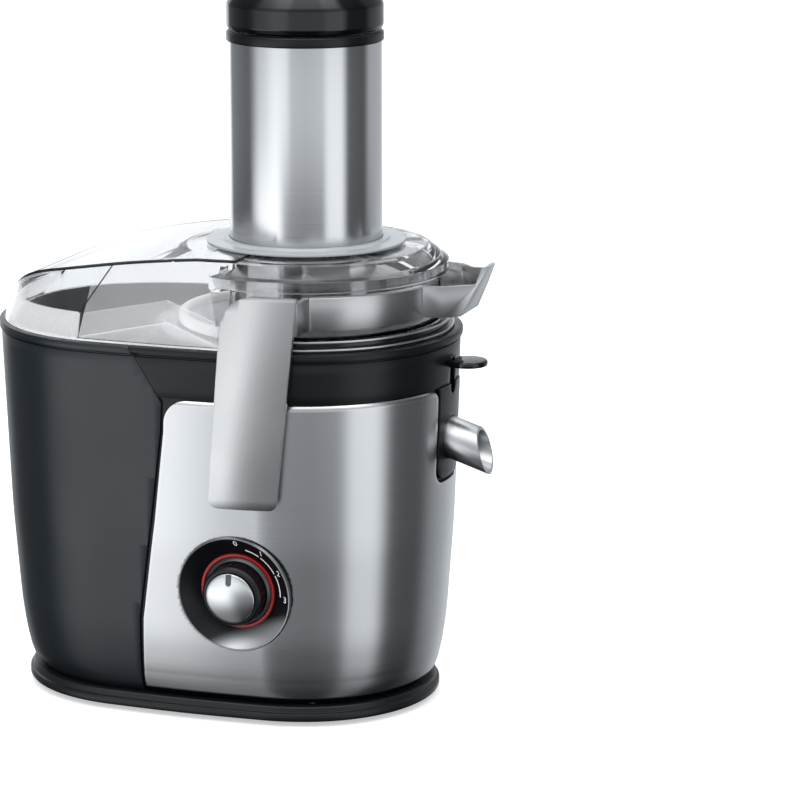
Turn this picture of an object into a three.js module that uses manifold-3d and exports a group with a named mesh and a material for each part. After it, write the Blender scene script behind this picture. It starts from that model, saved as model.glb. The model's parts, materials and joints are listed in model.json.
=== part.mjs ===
// Centrifugal juicer: motor base, juice bowl with strainer basket, clear lid with feed chute,
// locking bar, speed dial, drip stop and side pulp container. Millimetres, +Z up, front along -Y.
import * as THREE from 'three';
import { mergeVertices } from 'three/addons/utils/BufferGeometryUtils.js';
import Module from 'manifold-3d';

const wasm = await Module();
wasm.setup();

// ---- driving dimensions (mm) ----
const GAP = 0.3;              // clearance between neighbouring pieces
const SPAN = 100;             // distance between the two end centres of the oval body
const RIM_Z = 230;            // height of the body rim
const FLOOR_Z = 12;           // top of the base plate
const DECK_Z = 150;           // top of the deck that carries the juice bowl
const BAND_Z = 200;           // lower edge of the dark band under the rim
const SKIN = 1.6;             // thickness of the steel panel
const WALL = 3;               // thickness of the moulded walls
const HOUSING_R = 86.5;       // round back of the motor housing, towards the pulp container
const BOWL_R = 82;            // outside of the juice bowl wall
const NECK_R = 80.3;          // outside of the lid neck, inside the locking bar
const BRIM_R = 86;            // lid brim above the locking bar
const LID_WALL = 2.2;
const TUBE_R = 44;            // outside of the plastic feed tube
const TUBE_BORE_R = 42;
const CHUTE_R = 46;           // outside of the steel chute sleeve
const CHUTE_TOP_Z = 402;
const TOP_Z = 434;            // top of the pusher cap
const BAR_PIVOT = { x: -5, z: 145 };
const BAR_Y = 98;             // inner face of the locking bar legs
const BAR_THICK = 5.5;
const LIP_X = 117;            // tip of the locking bar's finger lip
const DIAL = { x: -14, z: 83, tilt: 4 };
const DIAL_R = 34;
const SPOUT = { x: 94.5, z: 165.5, slope: 18, r: 12.5, bore: 10.7 };
const LEVER_X = 102;
const LEVER_Z = 211;
const LEVER_R = 12;
const CENTRE_X = 38.9;        // moves the middle of the whole outline to x = 0
const ROUND = 32;             // segments of the large rounds
const SMALL = 16;             // segments of the small rounds

// Height and radius of the body's outer skin, from the base up.
const PROFILE = [[FLOOR_Z, 73], [15.5, 77.6], [24, 81.2], [50, 85.2], [110, 89.6], [224, 93.8]];

// ---- solids ----
function signedVolume(vertices, triangles) {
  const [a, b, c] = [new THREE.Vector3(), new THREE.Vector3(), new THREE.Vector3()];
  let volume = 0;
  for (let i = 0; i < triangles.length; i += 3) {
    a.fromArray(vertices, triangles[i] * 3);
    b.fromArray(vertices, triangles[i + 1] * 3);
    c.fromArray(vertices, triangles[i + 2] * 3);
    volume += a.dot(b.cross(c)) / 6;
  }
  return volume;
}

function solid(geometry) {
  const bare = geometry.clone();
  bare.deleteAttribute('normal');
  bare.deleteAttribute('uv');
  const merged = mergeVertices(bare, 1e-4);
  const vertProperties = new Float32Array(merged.attributes.position.array);
  const corners = merged.index.array;
  const kept = [];
  for (let i = 0; i < corners.length; i += 3) {
    const [a, b, c] = [corners[i], corners[i + 1], corners[i + 2]];
    if (a !== b && b !== c && c !== a) kept.push(a, b, c);
  }
  if (signedVolume(vertProperties, kept) < 0) kept.reverse();
  return new wasm.Manifold(new wasm.Mesh({ numProp: 3, vertProperties, triVerts: new Uint32Array(kept) }));
}

function union(...solids) {
  return solids.reduce((sum, next) => sum.add(next));
}

function cut(body, ...tools) {
  return tools.reduce((rest, tool) => rest.subtract(tool), body);
}

function closed(points) {
  const onAxis = points[0][0] === 0 && points[points.length - 1][0] === 0;
  return onAxis ? points : [...points, points[0]];
}

// Turned solid about Z from [radius, height] points.
function turned(points, segments = ROUND) {
  const outline = closed(points).map(([r, z]) => new THREE.Vector2(r, z));
  return solid(new THREE.LatheGeometry(outline, segments).rotateX(Math.PI / 2));
}

function disc(radius, z0, z1, segments = ROUND) {
  return turned([[0, z0], [radius, z0], [radius, z1], [0, z1]], segments);
}

function ring(inner, outer, z0, z1, segments = ROUND) {
  return turned([[inner, z0], [outer, z0], [outer, z1], [inner, z1]], segments);
}

function box(x0, x1, y0, y1, z0, z1) {
  const geometry = new THREE.BoxGeometry(x1 - x0, y1 - y0, z1 - z0);
  return solid(geometry.translate((x0 + x1) / 2, (y0 + y1) / 2, (z0 + z1) / 2));
}

function shapeOf(points) {
  return new THREE.Shape(points.map(([x, y]) => new THREE.Vector2(x, y)));
}

function flatPrism(shape, z0, z1) {
  const options = { depth: z1 - z0, bevelEnabled: false, curveSegments: 6 };
  return solid(new THREE.ExtrudeGeometry(shape, options).translate(0, 0, z0));
}

// Front-view outline (x, z) pushed through from y0 to y1.
function frontPrism(shape, y0, y1) {
  const options = { depth: y1 - y0, bevelEnabled: false, curveSegments: 6 };
  return solid(new THREE.ExtrudeGeometry(shape, options).rotateX(Math.PI / 2).translate(0, y1, 0));
}

// Side-view outline (y, z) pushed through from x0 to x1.
function sidePrism(shape, x0, x1) {
  const options = { depth: x1 - x0, bevelEnabled: false, curveSegments: 6 };
  const geometry = new THREE.ExtrudeGeometry(shape, options);
  return solid(geometry.rotateZ(Math.PI / 2).rotateY(Math.PI / 2).translate(x0, 0, 0));
}

function roundedRect(x0, y0, x1, y1, r) {
  const shape = new THREE.Shape();
  shape.moveTo(x0 + r, y0);
  shape.lineTo(x1 - r, y0).absarc(x1 - r, y0 + r, r, -Math.PI / 2, 0);
  shape.lineTo(x1, y1 - r).absarc(x1 - r, y1 - r, r, 0, Math.PI / 2);
  shape.lineTo(x0 + r, y1).absarc(x0 + r, y1 - r, r, Math.PI / 2, Math.PI);
  shape.lineTo(x0, y0 + r).absarc(x0 + r, y0 + r, r, Math.PI, 1.5 * Math.PI);
  return shape;
}

function moved(body, matrix) {
  return body.transform(matrix.elements);
}

function turnedAlongY(points, x, z, segments = SMALL) {
  const matrix = new THREE.Matrix4().makeRotationX(Math.PI / 2).setPosition(x, 0, z);
  return moved(turned(points.map(([r, y]) => [r, -y]), segments), matrix);
}

// ---- oval body ----
function radiusAt(z) {
  const upper = PROFILE.findIndex(([height]) => height >= z);
  if (upper < 0) return PROFILE[PROFILE.length - 1][1];
  if (upper === 0) return PROFILE[0][1];
  const [[z0, r0], [z1, r1]] = [PROFILE[upper - 1], PROFILE[upper]];
  return r0 + (r1 - r0) * (z - z0) / (z1 - z0);
}

// Oval stack: one oval for each [height, radius], joined by straight walls.
function ovalStack(levels) {
  const shape = new THREE.Shape();
  shape.absarc(0, 0, 1, -Math.PI / 2, Math.PI / 2);
  shape.absarc(-SPAN, 0, 1, Math.PI / 2, 1.5 * Math.PI);
  const options = { depth: levels.length - 1, steps: levels.length - 1, bevelEnabled: false };
  const geometry = new THREE.ExtrudeGeometry(shape, { ...options, curveSegments: ROUND / 2 });
  const at = geometry.attributes.position;
  for (let i = 0; i < at.count; i += 1) {
    const [z, radius] = levels[Math.round(at.getZ(i))];
    const centre = THREE.MathUtils.clamp(at.getX(i), -SPAN, 0);
    at.setXYZ(i, centre + (at.getX(i) - centre) * radius, at.getY(i) * radius, z);
  }
  return solid(geometry);
}

// Oval solid that follows the outer skin, moved in by inset.
function skinSolid(inset, z0, z1) {
  const between = PROFILE.map(([z]) => z).filter((z) => z > z0 + 0.5 && z < z1 - 0.5);
  return ovalStack([z0, ...between, z1].map((z) => [z, radiusAt(z) - inset]));
}

// A simpler oval for the hollow behind the skin, never closer to the skin than inset.
function hollowSolid(inset, z0, z1) {
  return ovalStack([z0, z0 + 0.28 * (z1 - z0), z1].map((z) => [z, radiusAt(z) - inset]));
}

// The same with the groove and the lip below the rim.
function rimmedSolid(inset, z0) {
  const below = PROFILE.map(([z]) => z).filter((z) => z > z0 + 0.5 && z < 223);
  const plain = [z0, ...below, 223.8].map((z) => [z, radiusAt(z) - inset]);
  const edge = radiusAt(RIM_Z);
  return ovalStack([...plain, [224.5, edge - 1.6], [225.2, edge + 0.5], [229, edge + 1], [RIM_Z, edge]]);
}

// Front-view line where the pulp container meets the motor side, from the base to the rim.
function seam(shift) {
  const lower = [[-79, 0], [-78, 18], [-76, 62], [-66, 124], [-58, 180], [-57, 197]];
  const line = [...lower, [-77, RIM_Z], [-80, 236]];
  return line.map(([x, z]) => [x + shift, z]);
}

function leftOfSeam(shift) {
  return frontPrism(shapeOf([[-300, 0], ...seam(shift), [-300, 236]]), -120, 120);
}

function rightOfSeam(shift) {
  return frontPrism(shapeOf([[300, 236], ...seam(shift).reverse(), [300, 0]]), -120, 120);
}

const DIAL_MATRIX = new THREE.Matrix4()
  .makeRotationX(Math.PI / 2 + THREE.MathUtils.degToRad(DIAL.tilt))
  .setPosition(DIAL.x, -radiusAt(DIAL.z), DIAL.z);

const SPOUT_MATRIX = new THREE.Matrix4()
  .makeRotationY(Math.PI / 2 + THREE.MathUtils.degToRad(SPOUT.slope))
  .setPosition(SPOUT.x, 0, SPOUT.z);

function dialHole() {
  return moved(disc(DIAL_R + GAP, -12, 6), DIAL_MATRIX);
}

function spoutHole(extra) {
  return moved(disc(SPOUT.r + extra, -14, 30, SMALL), SPOUT_MATRIX);
}

function barPinHole(radius) {
  return turnedAlongY([[0, -110], [radius, -110], [radius, 110], [0, 110]], BAR_PIVOT.x, BAR_PIVOT.z);
}

const GLAND = { x: 20, z: 40, r: 7.7 };

function glandHole() {
  return turnedAlongY([[0, 60], [GLAND.r + GAP, 60], [GLAND.r + GAP, 110], [0, 110]], GLAND.x, GLAND.z);
}

function leverSlot() {
  return sidePrism(roundedRect(-4.6, 193.5, 4.6, LEVER_Z + 4.5, 4.5), 70, 110);
}

function airSlots() {
  const slots = [];
  for (let i = -2; i <= 2; i += 1) slots.push(box(i * 12 - 3, i * 12 + 3, 40, 66, -1, FLOOR_Z + 6));
  for (let i = -2; i <= 2; i += 1) slots.push(box(i * 12 - 3, i * 12 + 3, -66, -40, -1, FLOOR_Z + 6));
  return slots;
}

// ---- base ----
function basePlate() {
  const plate = ovalStack([[3, 80.2], [8, 80.8], [8.5, 78.8], [FLOOR_Z, 78.4]]);
  return cut(plate, ovalStack([[0, 76], [6, 76]]), ...airSlots());
}

function foot(x, y) {
  const profile = [[0, 0], [10, 0], [11, 1], [11, 6 - GAP], [0, 6 - GAP]];
  return turned(profile, SMALL).translate([x, y, 0]);
}

function baseScrew(x, y) {
  const head = turned([[0, 3.6], [3.6, 3.6], [4, 6 - GAP], [0, 6 - GAP]], 16);
  return cut(head, box(-0.6, 0.6, -2.6, 2.6, 0, 4.4)).translate([x, y, 0]);
}

function motorHousing() {
  const reach = union(rightOfSeam(GAP), disc(HOUSING_R, 0, 240));
  const outer = skinSolid(2.2, FLOOR_Z + GAP, BAND_Z).intersect(reach);
  const core = union(rightOfSeam(WALL), disc(HOUSING_R - WALL, 0, 240));
  const lower = hollowSolid(2.2 + WALL, FLOOR_Z + WALL, DECK_Z - WALL).intersect(core);
  const upper = hollowSolid(2.2 + WALL, DECK_Z, BAND_Z + 1).intersect(core);
  return cut(outer, lower, upper, disc(9, DECK_Z - 10, DECK_Z + 10, SMALL), dialHole(), spoutHole(0.6),
    barPinHole(5.3), glandHole(), leverSlot(), ...airSlots());
}

function frontPanel() {
  const skin = cut(skinSolid(0, 17, BAND_Z - 0.8), skinSolid(SKIN, 16, BAND_Z));
  const outline = new THREE.Shape();
  outline.moveTo(-76, 17);
  outline.lineTo(-73, 62).lineTo(-63, 124).lineTo(-55.5, 180).lineTo(-55.2, 186);
  outline.absarc(-41.2, 185.2, 14, Math.PI, Math.PI / 2, true);
  outline.lineTo(140, 199.2).lineTo(140, 17);
  const window = sidePrism(roundedRect(-20.5, 146.4, 20.5, 240, 9), 40, 140);
  const sheet = skin.intersect(frontPrism(outline, -120, 120));
  return cut(sheet, window, dialHole(), barPinHole(5.3), glandHole());
}

function upperBand() {
  const band = cut(rimmedSolid(0.5, BAND_Z + GAP), skinSolid(5, BAND_Z - 1, RIM_Z + 1));
  return cut(band.intersect(rightOfSeam(GAP)), leverSlot());
}

function spoutPanel() {
  const plate = cut(skinSolid(-0.3, 140, BAND_Z), skinSolid(1.9, 139, BAND_Z + 1));
  const outline = sidePrism(roundedRect(-18.5, 148.6, 18.5, 240, 8), 40, 140);
  return cut(plate.intersect(outline), spoutHole(GAP), leverSlot());
}

function cordGland() {
  const face = radiusAt(GLAND.z);
  return turnedAlongY([[4.2, face - 6], [GLAND.r, face - 6], [GLAND.r, face + 0.4], [10, face + 0.4],
    [10, face + 2.4], [7.5, face + 4], [4.2, face + 4]], GLAND.x, GLAND.z);
}

function barBoss(side) {
  const skin = radiusAt(BAR_PIVOT.z) + 0.4;
  const [y0, y1] = [side * skin, side * (BAR_Y - GAP)];
  return turnedAlongY([[5.4, y0], [11, y0], [10, y1], [5.4, y1]], BAR_PIVOT.x, BAR_PIVOT.z);
}

// ---- dial ----
function onDial(body) {
  return moved(body, DIAL_MATRIX);
}

function dialBezel() {
  return onDial(turned([[3.4, -8.8], [DIAL_R, -8.8], [DIAL_R, 0.5], [35.4, 0.5], [34.6, 1.9], [32.6, 1.4],
    [25, -6.6], [3.4, -6.6]], 36));
}

function dialRedRing() {
  const band = ring(21.2, 23.2, -6.6 + GAP, -4.6, 36);
  const gap = shapeOf([[0, 0], [-60, -48], [-20, -70], [20, -70], [60, -48]]);
  return onDial(cut(band, flatPrism(gap, -20, 20)));
}

function knobSkirt() {
  const body = turned([[0, -5.9], [20, -5.9], [20, -3.4], [18.4, 2], [0, 2]], 32);
  return onDial(union(body, disc(3, -10.6, -5.5, 12)));
}

function knobFace() {
  const face = turned([[0, 2 + GAP], [15.2, 2 + GAP], [15.2, 8], [13, 9.6], [0, 10.5]], 32);
  return onDial(cut(face, box(-1.4, 1.4, 7.4, 16, 8.2, 14)));
}

function knobPointer() {
  return onDial(box(-1.05, 1.05, 7.8, 13.2, 8.5, 9.6));
}

// ---- motor and drive ----
function motorStator() {
  const core = ring(26, 40, 60, 96, 20);
  const coils = [-1, 1].map((side) => box(-20, 20, side * 33 - 6, side * 33 + 6, 52, 104));
  return cut(union(core, ...coils), disc(26, 40, 120, 20));
}

function lowerBracket() {
  const posts = [45, 135, 225, 315].map((angle) => {
    const turn = THREE.MathUtils.degToRad(angle);
    return disc(3.2, 20, 120 - GAP, 8).translate([46 * Math.cos(turn), 46 * Math.sin(turn), 0]);
  });
  return union(ring(10, 52, 19, 23, 20), ring(9.3, 13, 19, 34, SMALL), ...posts);
}

function upperBracket() {
  return union(ring(9.3, 52, 120, 123, 20), ring(9.3, 13, 120, 132, SMALL));
}

function carbonBrush(side) {
  const [near, far] = [12.5 * side, 30 * side];
  return box(-3.5, 3.5, Math.min(near, far), Math.max(near, far), 107, 114);
}

function coolingFan() {
  const blades = [];
  for (let i = 0; i < 6; i += 1) blades.push(box(10, 35, -0.8, 0.8, 39, 48).rotate([0, 0, i * 60]));
  return union(ring(4.2, 12, 38, 48, SMALL), ring(4.2, 36, 38, 39.6, 20), ...blades);
}

function driveCoupling() {
  const star = new THREE.Shape();
  for (let i = 0; i <= 12; i += 1) {
    const radius = i % 2 ? 9.5 : 12.5;
    const angle = i * Math.PI / 6;
    const [x, y] = [radius * Math.cos(angle), radius * Math.sin(angle)];
    if (i === 0) star.moveTo(x, y);
    else star.lineTo(x, y);
  }
  return cut(union(flatPrism(star, 158, 178), disc(13, 154, 158, SMALL)), disc(4.2, 140, 172, SMALL));
}

function basketHub() {
  return turned([[13, 160], [16, 160], [16, 186 - GAP], [13.6, 186 - GAP], [13.6, 190], [9, 197], [0, 198.5],
    [0, 180], [13, 180]], 20);
}

function filterBasket() {
  return turned([[14, 186], [48, 186], [74, 231.6], [74, 232], [72.6, 232], [47.2, 187.2], [14, 187.2]], 30);
}

function graterDisc() {
  const teeth = [];
  for (let i = 0; i < 6; i += 1) {
    const reach = 18 + 8 * (i % 3);
    teeth.push(box(reach, reach + 3, -2, 2, 188, 190.6).rotate([0, 0, i * 60]));
  }
  return union(ring(14.2, 46.5, 187.2 + GAP, 189, 24), ...teeth);
}

function basketRim() {
  return turned([[71.5, 232.3], [77, 232.3], [77, 237], [76, 238], [73, 238], [71.5, 236.4]], 30);
}

// ---- juice bowl and spout ----
function juiceBowl() {
  const outside = [[18, 152.3], [74, 152.3], [BOWL_R, 162], [BOWL_R, 225.4], [88.5, 226.4], [88.5, RIM_Z]];
  const inside = [[78, RIM_Z], [78, 163], [71, 155], [20.5, 155], [20.5, 182], [18, 182]];
  const body = turned([...outside, ...inside]);
  return cut(body, box(70, 90, -6.5, 6.5, 163, 176));
}

function bowlRimRing() {
  const bead = turned([[81, 230.3], [89.4, 230.3], [89, 231.8], [86.2, 232], [86.6, 235.2], [84.6, 236.8],
    [81.4, 236.4]]);
  return bead.intersect(box(-15, 120, -120, 120, 200, 260));
}

function spoutNozzle() {
  const tube = ring(SPOUT.bore, SPOUT.r, -7.5, 34, 28);
  const mouth = frontPrism(shapeOf([[107.6, 182], [118.6, 138], [160, 138], [160, 182]]), -40, 40);
  const trim = frontPrism(shapeOf([[60, 130], [86.2, 130], [86.2, 200], [60, 200]]), -40, 40);
  return cut(moved(tube, SPOUT_MATRIX), mouth, trim);
}

function dripStopLever() {
  const tab = turned([[0, LEVER_Z], [LEVER_R - 1, LEVER_Z], [LEVER_R, LEVER_Z + 1], [LEVER_R, LEVER_Z + 2.6],
    [LEVER_R - 1, LEVER_Z + 3.6], [0, LEVER_Z + 3.6]], 28).translate([LEVER_X, 0, 0]);
  const outside = box(94.4, 130, -20, 20, LEVER_Z - 2, LEVER_Z + 6);
  return union(tab.intersect(outside), box(84, 97, -3.2, 3.2, LEVER_Z - 1.5, LEVER_Z + 2.6));
}

function dripStopGate() {
  return union(box(82.6, 84.6, -11, 11, 177.5, 195), box(82.6, 84.6, -3, 3, 195, LEVER_Z - 1.5 - GAP),
    box(82.6, 83.7, -3, 3, LEVER_Z - 4, LEVER_Z + 2));
}

// ---- pulp container ----
function pulpContainer() {
  const outer = cut(rimmedSolid(0.5, FLOOR_Z + GAP).intersect(leftOfSeam(0)), disc(89, 0, 240));
  const room = hollowSolid(3.4, FLOOR_Z + WALL + GAP, 240).intersect(leftOfSeam(-2.6));
  const inner = cut(room, disc(91.6, 0, 260));
  const hollow = cut(inner, box(-300, 300, -200, 200, RIM_Z + 6, 300));
  const grip = [[-200, 87], [-188.5, 85], [-185.6, 81], [-185.2, 70], [-186.6, 66], [-200, 64]];
  return cut(outer, hollow, frontPrism(shapeOf(grip), -34, 34));
}

// ---- lid ----
// Clear hood over the container, moved in by inset; open below.
function lidHood(inset, bottom) {
  const walls = ovalStack([[bottom, 91.2 - inset], [262, 80.5 - inset], [290, 72 - inset]]);
  const roof = new THREE.Shape();
  roof.moveTo(-190 + inset, bottom);
  roof.lineTo(-188.4 + inset, 231);
  roof.bezierCurveTo(-180 + inset, 245, -172 + inset, 262 - inset, -132, 269 - inset);
  roof.quadraticCurveTo(-90, 277.6 - inset, -40, 281 - inset);
  roof.lineTo(-16 - inset, 281 - inset).lineTo(-16 - inset, bottom);
  return walls.intersect(frontPrism(roof, -120, 120));
}

function lidDome() {
  const low = RIM_Z + GAP;
  const coreR = NECK_R - LID_WALL;
  const brim = [[NECK_R, 263.6], [BRIM_R, 264.6], [BRIM_R, 271], [76.6, 278.6], [74, 280]];
  const neck = turned([[0, low], [NECK_R, low], ...brim, [0, 280.4]]);
  const neckCore = turned([[0, 220], [coreR, 220], [coreR, 270], [74, 275.6], [72, 277.8], [0, 278.2]]);
  const core = union(lidHood(LID_WALL, 220), neckCore);
  return cut(union(lidHood(0, low), neck), core, disc(TUBE_R + GAP, 250, 300));
}

function lidCollar() {
  const flange = [[TUBE_R + GAP, 281.3], [60, 281.3], [60, 283], [51, 283.2], [50, 284.4]];
  return turned([...flange, [CHUTE_R + GAP, 284.4], [CHUTE_R + GAP, 283.4], [TUBE_R + GAP, 283.4]]);
}

function feedTube() {
  return ring(TUBE_BORE_R, TUBE_R, 198, CHUTE_TOP_Z);
}

function chuteSleeve() {
  return ring(TUBE_R + GAP, CHUTE_R, 283.4 + GAP, CHUTE_TOP_Z, ROUND);
}

function chuteRim() {
  const z = CHUTE_TOP_Z + GAP;
  return turned([[TUBE_BORE_R, z], [47, z], [47, z + 5], [46, z + 5.7], [TUBE_BORE_R, z + 5.7]]);
}

function pusherBody() {
  return turned([[0, 286], [39, 286], [41.3, 288.4], [41.3, 408], [38.6, 408], [38.6, 290], [0, 289]], 30);
}

function pusherCap() {
  const side = [[45.5, 409.3], [47, 411], [47, 424], [44, 431], [34, TOP_Z], [24, 430]];
  return turned([[0, 409.3], ...side, [0, 429]]);
}

// ---- locking bar ----
function barLeg(side) {
  const leg = new THREE.Shape();
  leg.moveTo(-7, 265);
  leg.quadraticCurveTo(-14.6, 265, -15, 257);
  leg.lineTo(-25, 144).quadraticCurveTo(-25.4, 138, -19, 138);
  leg.lineTo(9, 138).quadraticCurveTo(15.4, 138, 16, 144);
  leg.lineTo(30, 262).lineTo(30, 265);
  const bevel = { bevelThickness: 1, bevelSize: 1, bevelOffset: -1, bevelSegments: 1 };
  const options = { depth: BAR_THICK - 2, ...bevel };
  const geometry = new THREE.ExtrudeGeometry(leg, { ...options, curveSegments: 5 });
  const far = side * (BAR_Y + BAR_THICK / 2) + (BAR_THICK - 2) / 2;
  return solid(geometry.rotateX(Math.PI / 2).translate(0, far, 0));
}

function barLip(inset, low, high) {
  const i = inset;
  const brow = [[LIP_X - i, 273], [LIP_X - 5 - i, 272.4], [94, 262]];
  const side = [[70, low], [103 - i, low + 1], ...brow, [70, 262]];
  const front = [[101.4 - i, low - 9], [103 - i, low + 1], [LIP_X - i, 273], [LIP_X, high]];
  const open = [[70, low - 9], ...front, [70, high]];
  const left = [[93, 24], [111, 13], [LIP_X + 1, 6]].map(([x, y]) => [x - i * 0.5, y - i * 0.9]);
  const right = left.map(([x, y]) => [x, -y]);
  const plan = shapeOf([[70, -24 + i], ...right, ...left.reverse(), [70, 24 - i]]);
  return frontPrism(shapeOf(inset ? open : side), -40, 40).intersect(flatPrism(plan, low - 10, high + 5));
}

function lockingBar() {
  const edge = [[81.3, 244.6], [82.4, 244], [84.8, 242.2], [85, 261.4], [84.4, 262.2], [81.6, 262.2]];
  const band = turned(edge, 48);
  const loop = band.intersect(box(27, 130, -120, 120, 230, 280));
  const arms = [-1, 1].map((side) => {
    const [near, far] = [side * 77.5, side * (BAR_Y + 2)];
    return box(27, 30.4, Math.min(near, far), Math.max(near, far), 243, 262.2);
  });
  const outer = union(loop, barLip(0, 243, 276));
  const open = cut(outer, barLip(2.6, 243, 300), disc(81.3, 230, 300, 48));
  return union(open, ...arms, barLeg(-1), barLeg(1));
}

function barPin(side) {
  const [y0, y1] = [side * 83, side * (BAR_Y - GAP)];
  return turnedAlongY([[0, y0], [5, y0], [5, y1], [0, y1]], BAR_PIVOT.x, BAR_PIVOT.z, 20);
}

// ---- assembly ----
const LOOKS = {
  steel: [0xb9bbbd, 0.3, 1],
  barMetal: [0xc9ccce, 0.35, 0.9],
  darkPlastic: [0x3a3f44, 0.5, 0],
  black: [0x1b1d1f, 0.45, 0],
  grey: [0x6d7175, 0.55, 0],
  clear: [0xdde3e6, 0.05, 0],
  white: [0xf1f1ef, 0.5, 0],
  red: [0xb5161c, 0.4, 0],
  rubber: [0x26282a, 0.9, 0],
  copper: [0xb4703c, 0.4, 0.8],
  board: [0x1f5b3a, 0.6, 0],
};

const juicer = new THREE.Group();

function add(name, look, body) {
  const result = body.getMesh();
  const geometry = new THREE.BufferGeometry();
  geometry.setAttribute('position', new THREE.BufferAttribute(result.vertProperties, 3));
  geometry.setIndex(new THREE.BufferAttribute(result.triVerts, 1));
  const [color, roughness, metalness] = LOOKS[look];
  const material = new THREE.MeshStandardMaterial({ color, roughness, metalness });
  if (look === 'clear') Object.assign(material, { transparent: true, opacity: 0.35 });
  const mesh = new THREE.Mesh(geometry, material);
  mesh.name = name;
  mesh.position.x = CENTRE_X;
  juicer.add(mesh);
}

function addBase() {
  add('base_plate', 'grey', basePlate());
  const corners = [[60, -21], [60, 21], [-159, -22], [-159, 22]];
  corners.forEach(([x, y], i) => add(`foot_${i + 1}`, 'rubber', foot(x, y)));
  const screws = [[44, -50], [44, 50], [-70, -62], [-70, 62]];
  screws.forEach(([x, y], i) => add(`base_screw_${i + 1}`, 'steel', baseScrew(x, y)));
  add('motor_housing', 'black', motorHousing());
  add('front_panel', 'steel', frontPanel());
  add('upper_band', 'black', upperBand());
  add('spout_panel', 'black', spoutPanel());
  add('cord_gland', 'rubber', cordGland());
  add('bar_boss_front', 'grey', barBoss(-1));
  add('bar_boss_rear', 'grey', barBoss(1));
  add('pulp_container', 'darkPlastic', pulpContainer());
}

function addDial() {
  add('dial_bezel', 'black', dialBezel());
  add('dial_red_ring', 'red', dialRedRing());
  add('knob_skirt', 'black', knobSkirt());
  add('knob_face', 'steel', knobFace());
  add('knob_pointer', 'white', knobPointer());
  add('speed_switch', 'black', box(-25, -3, -76.2, -60, 72, 94));
}

function addMotor() {
  add('motor_stator', 'copper', motorStator());
  add('motor_bracket_lower', 'grey', lowerBracket());
  add('motor_bracket_upper', 'grey', upperBracket());
  add('bearing_lower', 'steel', ring(4.3, 9, 25, 33, SMALL));
  add('bearing_upper', 'steel', ring(4.3, 9, 122, 130, SMALL));
  add('carbon_brush_front', 'black', carbonBrush(-1));
  add('carbon_brush_rear', 'black', carbonBrush(1));
  add('control_board', 'board', box(58, 60, -28, 28, 40, 105));
  add('interlock_switch', 'black', box(6, 18, -80, -70, 122, 140));
  add('shaft_seal', 'rubber', ring(4.4, 8.7, 146, 151.6, SMALL));
  add('motor_shaft', 'steel', disc(4, 24, 171.7, 20));
  add('motor_rotor', 'copper', cut(disc(25, 62, 94, 24), disc(4.2, 50, 100, 20)));
  add('commutator', 'copper', ring(4.2, 12, 104, 118, SMALL));
  add('cooling_fan', 'grey', coolingFan());
  add('drive_coupling', 'black', driveCoupling());
}

function addBowl() {
  add('juice_bowl', 'grey', juiceBowl());
  add('bowl_rim_ring', 'clear', bowlRimRing());
  add('spout_nozzle', 'steel', spoutNozzle());
  add('drip_stop_lever', 'black', dripStopLever());
  add('drip_stop_gate', 'black', dripStopGate());
  add('basket_hub', 'white', basketHub());
  add('filter_basket', 'steel', filterBasket());
  add('grater_disc', 'steel', graterDisc());
  add('basket_rim', 'white', basketRim());
}

function addLid() {
  add('lid_dome', 'clear', lidDome());
  add('lid_collar', 'grey', lidCollar());
  add('feed_tube', 'grey', feedTube());
  add('chute_sleeve', 'steel', chuteSleeve());
  add('chute_rim', 'black', chuteRim());
  add('pusher_body', 'black', pusherBody());
  add('pusher_cap', 'black', pusherCap());
  add('locking_bar', 'barMetal', lockingBar());
  add('bar_pin_front', 'steel', barPin(-1));
  add('bar_pin_rear', 'steel', barPin(1));
}

addBase();
addDial();
addMotor();
addBowl();
addLid();

export default juicer;
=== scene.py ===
"""Looks for the centrifugal juicer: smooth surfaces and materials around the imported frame, metres, +Z up."""

import json
import math

import bmesh
import bpy
import numpy as np
from mathutils import Matrix, Vector


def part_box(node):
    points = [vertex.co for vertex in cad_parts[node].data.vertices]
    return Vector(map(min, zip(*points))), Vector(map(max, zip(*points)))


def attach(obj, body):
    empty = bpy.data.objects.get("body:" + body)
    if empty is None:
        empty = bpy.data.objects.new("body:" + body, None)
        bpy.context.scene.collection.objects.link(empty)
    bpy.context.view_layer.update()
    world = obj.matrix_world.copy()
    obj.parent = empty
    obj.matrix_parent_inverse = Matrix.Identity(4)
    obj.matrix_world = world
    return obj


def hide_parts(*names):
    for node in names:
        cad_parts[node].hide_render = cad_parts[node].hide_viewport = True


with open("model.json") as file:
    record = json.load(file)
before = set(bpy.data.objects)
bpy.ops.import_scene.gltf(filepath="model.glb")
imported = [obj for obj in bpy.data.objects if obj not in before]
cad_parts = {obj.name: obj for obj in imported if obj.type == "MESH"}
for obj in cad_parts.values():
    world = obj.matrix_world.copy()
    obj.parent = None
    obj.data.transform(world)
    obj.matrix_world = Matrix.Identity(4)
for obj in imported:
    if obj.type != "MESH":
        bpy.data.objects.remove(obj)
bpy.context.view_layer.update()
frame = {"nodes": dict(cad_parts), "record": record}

# ---- driving dimensions: millimetres from the chute axis, z up from the table ----
MM = 0.001
_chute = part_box("chute_sleeve")
AXIS = Vector(((_chute[0][0] + _chute[1][0]) / 2, 0, 0))
GAP = 0.3
SPAN = 100
RIM_Z = 230
FLOOR_Z = 12
DECK_Z = 150
BAND_Z = 200
WALL = 3
HOUSING_R = 86.5
NECK_R = 80.3
BRIM_R = 86
LID_WALL = 2.2
TUBE_R = 44
TUBE_BORE_R = 42
CHUTE_R = 46
CHUTE_TOP_Z = 402
TOP_Z = 434
PIVOT_X, PIVOT_Z = -5, 145
BAR_Y = 98
BAR_THICK = 5.5
DIAL_X, DIAL_Z, DIAL_TILT = -14, 83, 4
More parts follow.
